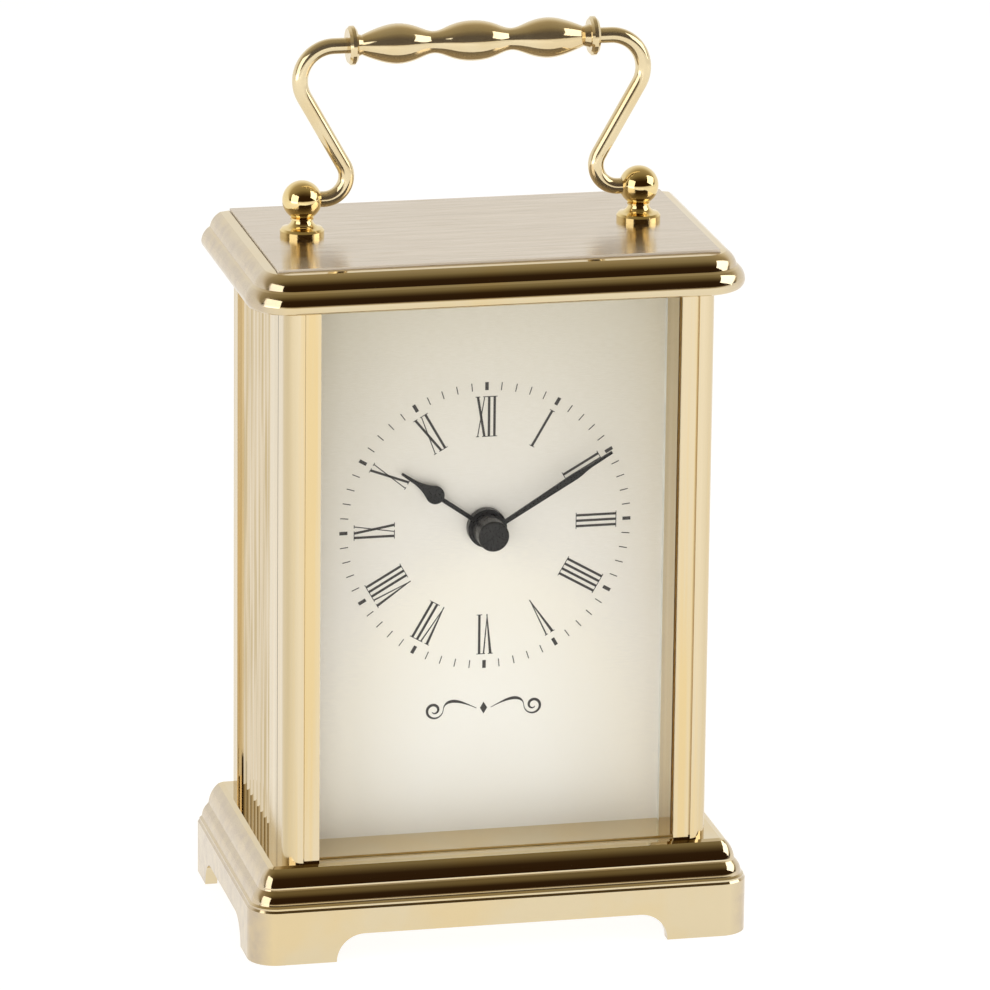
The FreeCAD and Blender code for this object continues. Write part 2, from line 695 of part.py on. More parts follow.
def make_handle():
    """Bail handle: a bent wire on each side and a turned grip with three swellings."""
    pieces = []
    for side, name in ((1, "right"), (-1, "left")):
        path, start = wire_path(side)
        ring = Part.Wire(Part.makeCircle(wire_radius.number, start, Vector(1, 0, 0)))
        wire = path.makePipeShell([ring], True, True)
        pieces.append(shaped("handle_arm_" + name, wire))
    half = dimension("grip_half").number
    swell = 3.55
    waist = 1.95
    end_swell = 13.7
    neck_at = 19.8
    profile = [(-half, 0.0), (-half, 3.0), (-half + 0.45, 3.45), (-half + 1.1, 3.45),
               (-half + 1.5, 3.0), (-half + 1.5, 2.1), (-neck_at, 1.75)]
    curve_points = [(-neck_at, 1.75), (-17.6, 2.65), (-end_swell, swell), (-9.6, 2.75),
                    (-6.9, waist), (-4.0, 2.85), (0.0, swell)]
    curve_points += [(-x, r) for x, r in reversed(curve_points[:-1])]
    profile_back = [(-x, r) for x, r in reversed(profile)]

    def up(points):
        return [Vector(x, r, 0) for x, r in points]

    swellings = Part.BSplineCurve()
    swellings.interpolate(up(curve_points))
    edges = [Part.LineSegment(a, b).toShape() for a, b in zip(up(profile), up(profile)[1:])]
    edges.append(swellings.toShape())
    edges += [Part.LineSegment(a, b).toShape()
              for a, b in zip(up(profile_back), up(profile_back)[1:])]
    edges.append(Part.LineSegment(Vector(half, 0, 0), Vector(-half, 0, 0)).toShape())
    blank = Part.Face(Part.Wire(edges)).revolve(Vector(), Vector(1, 0, 0), 360)
    grip = shaped("grip_blank", Part.makeSolid(blank.Shells[0]), (0.0, post_y, grip_height))
    deep = dimension("grip_half") - 4.2
    past = dimension("grip_half") + 1
    bores = [rod("grip_bore_right", wire_radius + 0.02, "x", deep, past, (post_y, grip_height)),
             rod("grip_bore_left", wire_radius + 0.02, "x", -past, -deep, (post_y, grip_height))]
    pieces.append(cut("handle_grip", grip, bores))
    return pieces


def screw_group(label, places, head_radius, head_span, shank_radius, shank_end, axis):
    """Identical round-headed screws in one group of separate solids."""
    screws = []
    for index, across in enumerate(places):
        low, high = head_span
        head = rod("%s_head_%d" % (label, index), head_radius, axis, low, high, across)
        span = (high, shank_end) if as_size(shank_end).number > as_size(high).number \
            else (shank_end, low)
        shank = rod("%s_shank_%d" % (label, index), shank_radius, axis, span[0], span[1], across)
        slot_across = list(across)
        blank = fuse("%s_blank_%d" % (label, index), [head, shank])
        if axis == "z":
            outer = low if as_size(shank_end).number > as_size(high).number else high
            xs = (as_size(slot_across[0]) - 3, as_size(slot_across[0]) + 3)
            ys = (as_size(slot_across[1]) - 0.3, as_size(slot_across[1]) + 0.3)
            zs = (as_size(outer) - 0.5, as_size(outer) + 0.5)
            blank = cut("%s_%d" % (label, index), blank,
                        [box("%s_slot_%d" % (label, index), xs, ys, zs)])
        screws.append(blank)
    return group(label, screws)


# ---------------------------------------------------------------- gears
def gear(teeth, module, low, high, centre, facing_angle, gap):
    """A spur gear about Y. A tooth, or a gap, points in the direction facing_angle."""
    pitch_radius = teeth * module / 2
    tip = pitch_radius + 0.8 * module
    root = pitch_radius - 1.05 * module
    share = math.pi / teeth
    tip_half = 0.22 * share
    root_half = 0.58 * share
    first = facing_angle + (share if gap else 0.0)
    points = []
    for index in range(teeth):
        middle = first + 2 * share * index
        for radius, angle in ((root, -root_half), (tip, -tip_half),
                              (tip, tip_half), (root, root_half)):
            points.append(Vector(centre[0] + radius * math.cos(middle + angle), low,
                                 dial_height.number + centre[1]
                                 + radius * math.sin(middle + angle)))
    face = Part.Face(Part.makePolygon(points + points[:1]))
    return face.extrude(Vector(0, high - low, 0))


def shaft(radius, low, high, centre):
    """A round shaft about Y at a place on the dial's plane."""
    return Part.makeCylinder(radius, high - low,
                             Vector(centre[0], low, dial_height.number + centre[1]),
                             Vector(0, 1, 0))


def toward(here, there):
    """Direction of one arbor as seen from another."""
    return math.atan2(there[1] - here[1], there[0] - here[0])


def step_from(centre, distance, degrees):
    """A place at a distance and a direction from another."""
    angle = math.radians(degrees)
    return (centre[0] + distance * math.cos(angle), centre[1] + distance * math.sin(angle))


CENTRE_TEETH, THIRD_TEETH, SECOND_TEETH, INTERMEDIATE_TEETH = 64, 60, 60, 60
THIRD_LEAVES, SECOND_LEAVES, INTERMEDIATE_LEAVES, ROTOR_LEAVES = 8, 8, 12, 10
CANNON_TEETH, MOTION_TEETH, MOTION_LEAVES, HOUR_TEETH = 12, 36, 10, 40
MODULE = dimension("gear_pitch").number
MOTION_DISTANCE = 9.0
CANNON_MODULE = 2 * MOTION_DISTANCE / (CANNON_TEETH + MOTION_TEETH)
HOUR_MODULE = 2 * MOTION_DISTANCE / (MOTION_LEAVES + HOUR_TEETH)

CENTRE = (0.0, 0.0)
MOTION = (-MOTION_DISTANCE, 0.0)
THIRD = step_from(CENTRE, MODULE * (CENTRE_TEETH + THIRD_LEAVES) / 2, 60)
SECOND = step_from(THIRD, MODULE * (THIRD_TEETH + SECOND_LEAVES) / 2, -20)
INTERMEDIATE = step_from(SECOND, MODULE * (SECOND_TEETH + INTERMEDIATE_LEAVES) / 2, 90)
ROTOR = step_from(INTERMEDIATE, MODULE * (INTERMEDIATE_TEETH + ROTOR_LEAVES) / 2, 135)

MOVEMENT_SCREWS = [(-24.0, 24.0), (24.0, 24.0), (-24.0, -8.0), (24.0, -8.0)]
TRAIN_PILLARS = [(-11.0, 25.2), (19.8, 24.9), (20.9, -6.8), (-4.0, -9.0)]
PIVOT = 0.4
CENTRE_ARBOR = 0.6
INNER_FRONT = case_front + wall          # inside of the movement case's front wall
TRAIN_PLATE_FRONT = 5.6
TRAIN_PLATE_BACK = 6.8
BATTERY_ROOF = -11.4                     # top of the battery bay, from the hands' axis
TUBE_OUT = 2.5                           # hour wheel's tube
TUBE_IN = 1.82
CANNON_OUT = 1.75
HOUR_TUBE_FRONT = -10.3
MINUTE_TUBE_FRONT = -12.4


def at_axis(places):
    """Places given from the hands' axis, as X and Z."""
    return [(x, dial_height + z) for x, z in places]


def make_train():
    """Wheels of the drive train, from the rotor down to the centre wheel, and motion works."""
    front_pivot = INNER_FRONT.number - 0.6
    rear_pivot = TRAIN_PLATE_BACK - 0.1
    wheels = []

    def wheel(label, parts):
        solid = parts[0].multiFuse(parts[1:]).removeSplitter()
        wheels.append(shaped(label, solid))

    wheel("centre_wheel", [
        gear(CENTRE_TEETH, MODULE, -1.6, -0.6, CENTRE, toward(CENTRE, THIRD), True),
        shaft(1.6, -1.9, -0.3, CENTRE),
        shaft(CENTRE_ARBOR, MINUTE_TUBE_FRONT + 0.4, rear_pivot, CENTRE),
    ])
    wheel("third_wheel", [
        gear(THIRD_TEETH, MODULE, 0.1, 1.1, THIRD, toward(THIRD, SECOND), True),
        gear(THIRD_LEAVES, MODULE, -1.95, 0.2, THIRD, toward(THIRD, CENTRE), False),
        shaft(PIVOT, front_pivot, rear_pivot, THIRD),
    ])
    wheel("second_wheel", [
        gear(SECOND_TEETH, MODULE, 1.9, 2.9, SECOND, toward(SECOND, INTERMEDIATE), True),
        gear(SECOND_LEAVES, MODULE, -0.2, 2.0, SECOND, toward(SECOND, THIRD), False),
        shaft(PIVOT, front_pivot, rear_pivot, SECOND),
    ])
    wheel("intermediate_wheel", [
        gear(INTERMEDIATE_TEETH, MODULE, 3.7, 4.7, INTERMEDIATE,
             toward(INTERMEDIATE, ROTOR), True),
        gear(INTERMEDIATE_LEAVES, MODULE, 1.6, 3.8, INTERMEDIATE,
             toward(INTERMEDIATE, SECOND), False),
        shaft(PIVOT, front_pivot, rear_pivot, INTERMEDIATE),
    ])
    wheel("rotor_pinion", [
        gear(ROTOR_LEAVES, MODULE, 3.4, 5.0, ROTOR, toward(ROTOR, INTERMEDIATE), False),
        shaft(PIVOT, front_pivot, rear_pivot, ROTOR),
    ])
    magnet = shaft(3.0, -2.4, 2.4, ROTOR).cut(shaft(PIVOT + 0.01, -3.0, 3.0, ROTOR))
    wheels.append(shaped("rotor_magnet", magnet))
    cannon = gear(CANNON_TEETH, CANNON_MODULE, -3.5, -2.2, CENTRE,
                  toward(CENTRE, MOTION), False)
    cannon = cannon.fuse(shaft(CANNON_OUT, MINUTE_TUBE_FRONT, -2.2, CENTRE))
    cannon = cannon.cut(shaft(CENTRE_ARBOR + running.number, MINUTE_TUBE_FRONT - 1, 0.0, CENTRE))
    wheels.append(shaped("cannon_pinion", cannon.removeSplitter()))
    wheel("motion_wheel", [
        gear(MOTION_TEETH, CANNON_MODULE, -3.4, -2.4, MOTION, toward(MOTION, CENTRE), True),
        gear(MOTION_LEAVES, HOUR_MODULE, -5.05, -3.3, MOTION, toward(MOTION, CENTRE), False),
        shaft(PIVOT, front_pivot, cover_back.number + 3.4, MOTION),
    ])
    hour = gear(HOUR_TEETH, HOUR_MODULE, -4.9, -3.9, CENTRE, toward(CENTRE, MOTION), True)
    hour = hour.fuse(shaft(TUBE_OUT, HOUR_TUBE_FRONT, -3.9, CENTRE))
    hour = hour.cut(shaft(TUBE_IN, HOUR_TUBE_FRONT - 1, -3.0, CENTRE))
    wheels.append(shaped("hour_wheel", hour.removeSplitter()))
    return wheels


def make_setting_knob():
    """Knurled knob at the back of the movement, for setting the hands."""
    ridges = 28
    outer = 5.0
    front = cover_back.number + 0.5
    back = cover_back.number + 4.3
    points = []
    for index in range(2 * ridges):
        radius = outer if index % 2 else outer - 0.3
        angle = math.pi * index / ridges
        points.append(Vector(MOTION[0] + radius * math.cos(angle), front,
                             dial_height.number + MOTION[1] + radius * math.sin(angle)))
    rim = Part.Face(Part.makePolygon(points + points[:1])).extrude(Vector(0, back - front, 0))
    knob = rim.cut(shaft(PIVOT, front - 1, cover_back.number + 3.4, MOTION))
    return shaped("setting_knob", knob)


# ---------------------------------------------------------------- movement
def make_movement():
    """Quartz movement: case, cover, train plate, motor, circuit, battery and contacts."""
    half = case_half
    mid = dial_height
    floor = mid + BATTERY_ROOF
    shell = box("case_block", (-half, half), (case_front, cover_front), (mid - half, mid + half))
    tools = [
        box("case_upper_space", (-half + wall, half - wall), (INNER_FRONT, cover_front + 1),
            (floor + wall, mid + half - wall)),
        box("case_battery_bay", (-half + wall, half - wall), (case_front + 1.0, cover_front + 1),
            (mid - half + wall, floor)),
    ]
    body = cut("case_shell", shell, tools)
    lugs = rods("case_lug", 2.2, "y", case_front, 1.0, at_axis(MOVEMENT_SCREWS))
    lugs += rods("case_board_peg", 1.2, "y", case_front, TRAIN_PLATE_FRONT,
                 at_axis([(-24.5, 12.0), (-15.5, -8.0)]))
    lugs += rods("case_stator_peg", 1.2, "y", case_front, -0.5,
                 at_axis([(-21.2, ROTOR[1]), (0.0, ROTOR[1])]))
    drill = rods("case_lug_hole", 0.9, "y", case_front - 1, -1.0, at_axis(MOVEMENT_SCREWS))
    drill.append(rod("case_bush_hole", 3.0, "y", case_front - 1, INNER_FRONT + 1, (0.0, mid)))
    drill += rods("case_pivot", running + PIVOT, "y", INNER_FRONT - 0.7, INNER_FRONT + 1,
                  at_axis([THIRD, SECOND, INTERMEDIATE, ROTOR, MOTION]))
    case = cut("movement_case", fuse("case_with_lugs", [body] + lugs), drill)

    cover = cut("movement_cover",
                box("cover_blank", (-half, half), (cover_front, cover_back),
                    (floor, mid + half)),
                rods("cover_hole", 1.0, "y", cover_front - 1, cover_back + 1, at_axis([MOTION])))

    plate_holes = rods("train_hole", running + PIVOT, "y", TRAIN_PLATE_FRONT - 1,
                       TRAIN_PLATE_BACK + 1,
                       at_axis([THIRD, SECOND, INTERMEDIATE, ROTOR, MOTION]))
    plate_holes.append(rod("train_centre_hole", running + CENTRE_ARBOR, "y",
                           TRAIN_PLATE_FRONT - 1, TRAIN_PLATE_BACK + 1, (0.0, mid)))
    train_plate = cut("train_plate",
                      box("train_plate_blank", (-12.5, 22.5),
                          (TRAIN_PLATE_FRONT, TRAIN_PLATE_BACK),
                          (mid - 9.9, mid + 26.1)), plate_holes)
    pillars = group("train_pillars", rods("train_pillar", 0.9, "y", INNER_FRONT,
                                          TRAIN_PLATE_FRONT, at_axis(TRAIN_PILLARS)))

    bush = cut("centre_bush",
               rod("bush_blank", 3.0, "y", -8.3, INNER_FRONT, (0.0, mid)),
               [rod("bush_bore", running + TUBE_OUT, "y", -9.3, INNER_FRONT + 1, (0.0, mid))])

    coil_z = ROTOR[1]
    stator_blank = fuse("stator_blank", [
        box("stator_head", (-3.5, 10.6), (-0.5, 0.5), (mid + coil_z - 3.8, mid + coil_z + 3.8)),
        box("stator_core", (-22.5, -3.5), (-0.5, 0.5), (mid + coil_z - 1.8, mid + coil_z + 1.8)),
    ])
    stator = cut("stator", stator_blank,
                 [rod("stator_hole", 3.35, "y", -1.0, 1.0, (ROTOR[0], mid + coil_z))])
    coil_round = rod("coil_round", 3.4, "x", -19.0, -5.5, (0.0, mid + coil_z))
    flanges = [rod("coil_flange_%d" % index, 3.8, "x", start, start + 0.8, (0.0, mid + coil_z))
               for index, start in enumerate((-19.8, -5.5))]
    coil = cut("coil", fuse("coil_blank", [coil_round] + flanges),
               [box("coil_window", (-21.0, -4.0), (-0.6, 0.6),
                    (mid + coil_z - 1.9, mid + coil_z + 1.9))])

    board = box("circuit_board", (-26.0, -14.0), (5.6, 6.6), (mid - 9.0, mid + 14.0))
    crystal = rod("quartz_crystal", 1.0, "z", mid + 1.0, mid + 7.2, (-20.0, 4.6))
    chip = box("timing_chip", (-22.5, -17.5), (4.8, 5.6), (mid - 6.0, mid - 1.0))

    cell_y = case_front + 8.3
    cell_z = mid - half + 8.7
    battery = fuse("battery", [
        rod("cell_can", 7.25, "x", -24.6, 24.9, (cell_y, cell_z)),
        rod("cell_nub", 2.7, "x", 24.9, 25.9, (cell_y, cell_z)),
    ])
    positive = box("battery_contact_positive", (25.9, half - wall),
                   (cell_y - 3.5, cell_y + 3.5), (cell_z - 3.5, cell_z + 3.5))
    negative_plate = box("negative_plate", (-half + wall, -half + wall + 0.4),
                         (cell_y - 4.5, cell_y + 4.5), (cell_z - 4.5, cell_z + 4.5))
    coils = [shaped_ring("negative_ring_%d" % index, x, ring, cell_y.number, cell_z.number)
             for index, (x, ring) in enumerate(((-26.15, 3.6), (-25.6, 2.9), (-25.05, 2.2)))]
    negative = fuse("battery_contact_negative", [negative_plate] + coils)
    return [case, cover, train_plate, pillars, bush, stator, coil, board, crystal, chip,
            battery, positive, negative]


def shaped_ring(label, x, radius, y, z):
    """One turn of the negative contact's conical spring."""
    ring = doc.addObject("Part::Torus", label)
    ring.Label = label
    ring.Radius1 = radius
    ring.Radius2 = 0.45
    ring.Placement = Placement(Vector(x, y, z), Rotation(Vector(0, 1, 0), 90))
    return ring


# ---------------------------------------------------------------- hands
def turned_outline(points, angle, centre_z):
    """Points along a hand that lies on +Z, turned clockwise about the dial's axis."""
    turned_points = []
    for point in points:
        across, along = point[0], point[1]
        x = across * math.cos(angle) + along * math.sin(angle)
        z = along * math.cos(angle) - across * math.sin(angle) + centre_z
        turned_points.append((x, z) + tuple(point[2:]))
    return turned_points


def make_hands():
    """Spade hour hand, slim minute hand and the round cap, set to ten past ten."""
    mid = dial_height.number
    minute_angle = math.radians(58.5)
    hour_angle = math.radians(305.0)
    hour_outline = [
        (0.38, 2.0), (0.38, 9.9), (1.6, 11.3, -1.65), (1.35, 12.5, -1.65), (0.34, 16.0, 9.0),
        (0.22, 18.8), (-0.22, 18.8), (-0.34, 16.0), (-1.35, 12.5, 9.0), (-1.6, 11.3, -1.65),
        (-0.38, 9.9, -1.65), (-0.38, 2.0),
    ]
    minute_outline = [
        (0.36, 1.5), (0.62, 17.8), (0.56, 18.9), (0.27, 22.6, 14.0), (0.23, 25.6),
        (-0.23, 25.6), (-0.27, 22.6), (-0.56, 18.9, 14.0), (-0.62, 17.8), (-0.36, 1.5),
    ]
    hour_front, hour_back = HOUR_TUBE_FRONT, HOUR_TUBE_FRONT + 0.4
    minute_front, minute_back = MINUTE_TUBE_FRONT, MINUTE_TUBE_FRONT + 0.4
    hour_hand = cut("hour_hand", fuse("hour_hand_blank", [
        facing("hour_blade", turned_outline(hour_outline, hour_angle, mid),
               hour_front, hour_back),
        rod("hour_collet", 3.5, "y", hour_front, dial_front - 0.3, (0.0, mid)),
    ]), [rod("hour_bore", TUBE_OUT, "y", hour_front - 1, dial_front + 1, (0.0, mid))])
    minute_hand = cut("minute_hand", fuse("minute_hand_blank", [
        facing("minute_blade", turned_outline(minute_outline, minute_angle, mid),
               minute_front, minute_back),
        rod("minute_collet", 2.8, "y", minute_front, -10.7, (0.0, mid)),
    ]), [rod("minute_bore", CANNON_OUT, "y", minute_front - 1, -10.0, (0.0, mid))])
    cap_back = MINUTE_TUBE_FRONT
    cap = turned("hand_cap", "XY_Plane", [
        (0.0, 0.0), (2.75, 0.0), (2.75, -2.8), (2.45, -3.1, 0.3), (0.0, -3.1),
    ], "V_Axis", (0.0, cap_back, mid))
    return [hour_hand, minute_hand, cap]


# ---------------------------------------------------------------- the whole clock
nodes = [make_base(), make_cornice(), make_top_plate()]
nodes += make_front_pillars() + make_back_pillars() + make_side_panels()
nodes += [make_front_glass()] + make_dial_parts() + make_back_door()
nodes += make_posts() + [make_post_nuts()] + make_handle()
nodes.append(screw_group("base_screws", PILLAR_SCREWS, 2.4,
                         (base_top - 4.8, base_top - 3.0), SCREW_SHANK, base_top + 6.0, "z"))
nodes.append(screw_group("cornice_screws", PILLAR_SCREWS, 2.4,
                         (plate_low - 1.8, plate_low - 0.2), SCREW_SHANK, cornice_low - 6.0, "z"))
nodes.append(screw_group("movement_screws",
                         at_axis(MOVEMENT_SCREWS), 2.0,
                         (dial_back + 0.05, dial_back + 0.8), 0.85, -1.2, "y"))
nodes += make_train() + [make_setting_knob()] + make_movement() + make_hands()
doc.recompute()

failed = [item.Label for item in doc.Objects if "Invalid" in item.State or "Error" in item.State]
if failed:
    raise RuntimeError("objects that did not compute: " + ", ".join(failed))
for node in nodes:
    if node.Shape.isNull() or not node.Shape.isValid() or not node.Shape.Solids:
        raise RuntimeError("no valid solid in " + node.Label)

os.makedirs("parts", exist_ok=True)
for node in nodes:
    node.Shape.exportStep("parts/%s.step" % node.Label)
print(len(nodes), "nodes written")
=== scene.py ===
"""Mantel clock: finishes, dial printing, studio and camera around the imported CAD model.

Everything is in metres in the CAD model's frame: +X is the clock's right, +Y its back, +Z up.
"""

import math

import bpy
from mathutils import Matrix, Quaternion, Vector


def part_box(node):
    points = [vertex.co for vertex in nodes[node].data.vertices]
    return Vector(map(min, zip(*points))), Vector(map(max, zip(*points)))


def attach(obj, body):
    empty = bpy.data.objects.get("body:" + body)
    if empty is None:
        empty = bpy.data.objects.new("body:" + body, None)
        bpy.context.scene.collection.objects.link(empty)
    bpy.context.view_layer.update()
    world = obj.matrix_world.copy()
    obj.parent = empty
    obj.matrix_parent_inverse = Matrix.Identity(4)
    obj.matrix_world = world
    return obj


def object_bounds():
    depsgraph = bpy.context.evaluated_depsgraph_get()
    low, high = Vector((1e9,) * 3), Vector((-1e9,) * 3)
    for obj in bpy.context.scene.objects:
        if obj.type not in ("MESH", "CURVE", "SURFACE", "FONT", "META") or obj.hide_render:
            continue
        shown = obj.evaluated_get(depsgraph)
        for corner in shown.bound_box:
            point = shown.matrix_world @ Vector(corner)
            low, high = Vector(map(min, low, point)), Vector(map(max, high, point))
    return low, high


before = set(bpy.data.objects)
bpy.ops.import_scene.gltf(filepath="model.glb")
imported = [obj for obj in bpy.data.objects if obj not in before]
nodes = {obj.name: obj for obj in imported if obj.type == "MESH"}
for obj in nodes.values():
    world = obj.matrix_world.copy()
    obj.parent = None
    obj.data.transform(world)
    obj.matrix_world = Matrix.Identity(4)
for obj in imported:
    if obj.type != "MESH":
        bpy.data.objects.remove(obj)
cad_low, cad_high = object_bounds()
MM = 0.001
scene = bpy.context.scene


# ---------------------------------------------------------------- node helpers
class Finish:
    """A material with one Principled shader, and calls that add the nodes driving it."""

    def __init__(self, name, colour, metallic, roughness, **sockets):
        self.material = bpy.data.materials.new(name)
        self.material.use_nodes = True
        self.tree = self.material.node_tree
        self.shader = self.tree.nodes["Principled BSDF"]
        self.output = self.tree.nodes["Material Output"]
        self.shader.inputs["Base Color"].default_value = (*colour, 1)
        self.shader.inputs["Metallic"].default_value = metallic
        self.shader.inputs["Roughness"].default_value = roughness
        for socket, value in sockets.items():
            self.shader.inputs[socket.replace("_", " ")].default_value = value
        self.place = self.node("ShaderNodeTexCoord").outputs["Object"]

    def node(self, kind, **settings):
        made = self.tree.nodes.new(kind)
        for name, value in settings.items():
            setattr(made, name, value)
        return made

    def link(self, source, target):
        self.tree.links.new(source, target)

    def stretched(self, stretch):
        """The object's own coordinates, scaled along each axis."""
        if stretch == (1, 1, 1):
            return self.place
        mapping = self.node("ShaderNodeMapping")
        mapping.inputs["Scale"].default_value = stretch
        self.link(self.place, mapping.inputs["Vector"])
        return mapping.outputs["Vector"]

    def noise(self, size, detail=2.0, stretch=(1, 1, 1), distortion=0.0):
        """Noise whose blotches are about size metres across."""
        texture = self.node("ShaderNodeTexNoise")
        texture.inputs["Scale"].default_value = 1 / size
        texture.inputs["Detail"].default_value = detail
        texture.inputs["Distortion"].default_value = distortion
        self.link(self.stretched(stretch), texture.inputs["Vector"])
        return texture.outputs["Fac"]

    def spread(self, factor, low, high, start=0.3, end=0.7):
        """The factor's range from start to end, mapped to low and high."""
        ranged = self.node("ShaderNodeMapRange")
        for name, value in zip(("From Min", "From Max", "To Min", "To Max"), (start, end, low, high)):
            ranged.inputs[name].default_value = value
        self.link(factor, ranged.inputs["Value"])
        return ranged.outputs["Result"]

    def product(self, first, second):
        multiply = self.node("ShaderNodeMath", operation="MULTIPLY")
        self.link(first, multiply.inputs[0])
        self.link(second, multiply.inputs[1])
        return multiply.outputs[0]

    def total(self, first, second):
        add = self.node("ShaderNodeMath", operation="ADD")
        self.link(first, add.inputs[0])
        self.link(second, add.inputs[1])
        return add.outputs[0]

    def colours(self, factor, *stops):
        """Base colour that runs through the stops, each a place and a colour."""
        ramp = self.node("ShaderNodeValToRGB")
        elements = ramp.color_ramp.elements
        elements[0].position, elements[-1].position = stops[0][0], stops[-1][0]
        elements[0].color, elements[-1].color = (*stops[0][1], 1), (*stops[-1][1], 1)
        for position, colour in stops[1:-1]:
            elements.new(position).color = (*colour, 1)
        self.link(factor, ramp.inputs["Fac"])
        self.link(ramp.outputs["Color"], self.shader.inputs["Base Color"])

    def rough(self, factor, low, high):
        self.link(self.spread(factor, low, high), self.shader.inputs["Roughness"])

    def bump(self, height, depth):
        """Relief whose full height is depth metres."""
        relief = self.node("ShaderNodeBump")
        relief.inputs["Strength"].default_value = 1.0
        relief.inputs["Distance"].default_value = depth
        self.link(height, relief.inputs["Height"])
        self.link(relief.outputs["Normal"], self.shader.inputs["Normal"])

    def facing(self, axis, kind="Normal"):
        """How far the surface looks along one of the clock's axes, from -1 to 1."""
        parts = self.node("ShaderNodeSeparateXYZ")
        self.link(self.node("ShaderNodeNewGeometry").outputs[kind], parts.inputs[0])
        return parts.outputs[axis]

    def size_of(self, value):
        """The value without its sign."""
        absolute = self.node("ShaderNodeMath", operation="ABSOLUTE")
        self.link(value, absolute.inputs[0])
        return absolute.outputs[0]

    def source(self, socket):
        """The output that drives one of the shader's sockets now."""
        return self.shader.inputs[socket].links[0].from_socket

    def drive(self, output, socket):
        self.link(output, self.shader.inputs[socket])

    def blend(self, factor, first, second):
        """A mix of two shaders, the second one showing where the factor is 1."""
        mix = self.node("ShaderNodeMixShader")
        for source, target in zip((factor, first, second), mix.inputs):
            self.link(source, target)
        return mix.outputs[0]


def shade(colour, by):
    return tuple(channel * by for channel in colour)


# ---------------------------------------------------------------- finishes
GOLD = (0.715, 0.605, 0.40)
RICH_GOLD = (0.73, 0.59, 0.35)
PALE_GOLD = (0.70, 0.60, 0.44)
# darker golds for the sideways faces: wear and painted shade
WORN_SHADED_GOLD = (0.545, 0.455, 0.345)
RUBBED_SHADED_GOLD = (0.60, 0.49, 0.30)
YELLOW_GOLD = (0.83, 0.66, 0.33)
COOL_GOLD = (0.75, 0.635, 0.43)
WARM_GOLD = (0.77, 0.60, 0.32)
SHADED_GOLD = (0.56, 0.45, 0.27)


def gilt(name, colours, roughest, metallic=1.0, patch=9 * MM, grain=(1, 1, 1)):
    """Polished, lacquered gilt: a near mirror that drifts between two tints, with handling marks."""
    finish = Finish(name, colours[0], metallic, roughest)
    patches = finish.noise(patch, 3, grain)
    finish.colours(patches, (0.36, colours[1]), (0.56, colours[0]))
    smears = finish.noise(2.2 * MM, 4, distortion=0.6)
    finish.rough(finish.product(patches, smears), roughest * 0.6, roughest * 1.45)
    peel = finish.noise(0.9 * MM, 2)
    finish.bump(peel, 0.0008 * MM)
    return finish


FLANK_DULLING = 0.16            # roughness added where a flank is worn most


def worn_and_shaded_flanks(finish, worn_shade_colour, grain=(1, 1, 1)):
    """Makes the faces that look sideways duller and blotchier than the polished front, and darker in
    colour: blotchy wear with painted shade on the sideways faces.
    """
    flank = finish.spread(finish.size_of(finish.facing("X")), 0, 1, 0.25, 0.8)
    grainy = finish.spread(finish.noise(2.6 * MM, 8, grain), 0.5, 0.95, 0.32, 0.66)
    worn_shade_blotches = finish.product(flank, grainy)
    # the sideways faces painted darker: blotchy wear and painted shade
    worn_shade_mix = finish.node("ShaderNodeMix", data_type="RGBA")
    finish.link(worn_shade_blotches, worn_shade_mix.inputs["Factor"])
    finish.link(finish.source("Base Color"), worn_shade_mix.inputs["A"])
    worn_shade_mix.inputs["B"].default_value = (*worn_shade_colour, 1)
    finish.drive(worn_shade_mix.outputs["Result"], "Base Color")
    duller = finish.spread(worn_shade_blotches, 0, FLANK_DULLING, 0, 1)
    finish.drive(finish.total(finish.source("Roughness"), duller), "Roughness")
    return finish


def brushed(name, colour, grain, roughness, round_axis):
    """Gilt brushed in one direction: fine uneven lines along the axis where grain is small."""
    finish = Finish(name, colour, 1.0, roughness)
    lines = finish.noise(0.22 * MM, 3, grain)
    broad = finish.noise(1.1 * MM, 3, grain)
    finish.colours(broad, (0.3, shade(colour, 0.92)), (0.7, colour))
    finish.rough(lines, roughness * 0.75, roughness * 1.25)
    finish.bump(lines, 0.0004 * MM)
    along = finish.node("ShaderNodeTangent", direction_type="RADIAL", axis=round_axis)
    finish.drive(along.outputs[0], "Tangent")
    finish.shader.inputs["Anisotropic"].default_value = 0.8
    finish.shader.inputs["Anisotropic Rotation"].default_value = 0.25
    return finish


def sheared_edges(finish):
    """Makes the upright edges of a flat plate dull and pale, as cut metal is."""
    finish.drive(finish.spread(finish.facing("Z"), 0.15, 1, 0.4, 0.9), "Metallic")
    return finish


def plastic(name, colour, roughness, grain=0.25 * MM, depth=0.01 * MM, **sockets):
    """Moulded plastic with a fine spark-eroded texture."""
    finish = Finish(name, colour, 0.0, roughness, **sockets)
    fine = finish.noise(grain, 2)
    finish.colours(finish.noise(6 * MM, 2), (0.35, shade(colour, 0.88)), (0.65, colour))
    finish.rough(fine, roughness * 0.85, min(1.0, roughness * 1.15))
    finish.bump(fine, depth)
    return finish


def plated(name, colour, roughness):
    """Bright zinc plate with a slightly cloudy skin."""
    finish = Finish(name, colour, 1.0, roughness)
    cloud = finish.noise(2.5 * MM, 4)
    finish.colours(cloud, (0.35, shade(colour, 0.82)), (0.65, colour))
    finish.rough(cloud, roughness * 0.7, roughness * 1.3)
    finish.bump(finish.noise(0.3 * MM, 2), 0.0015 * MM)
    return finish


PAINTED_LIGHT_BELOW_MIDDLE = 45 * MM   # where the painted pool of light on the dial sits, below its middle
PAINTED_LIGHT_SPREAD = (0.7, 1, 0.45)    # smaller where the painted pool of light is longer
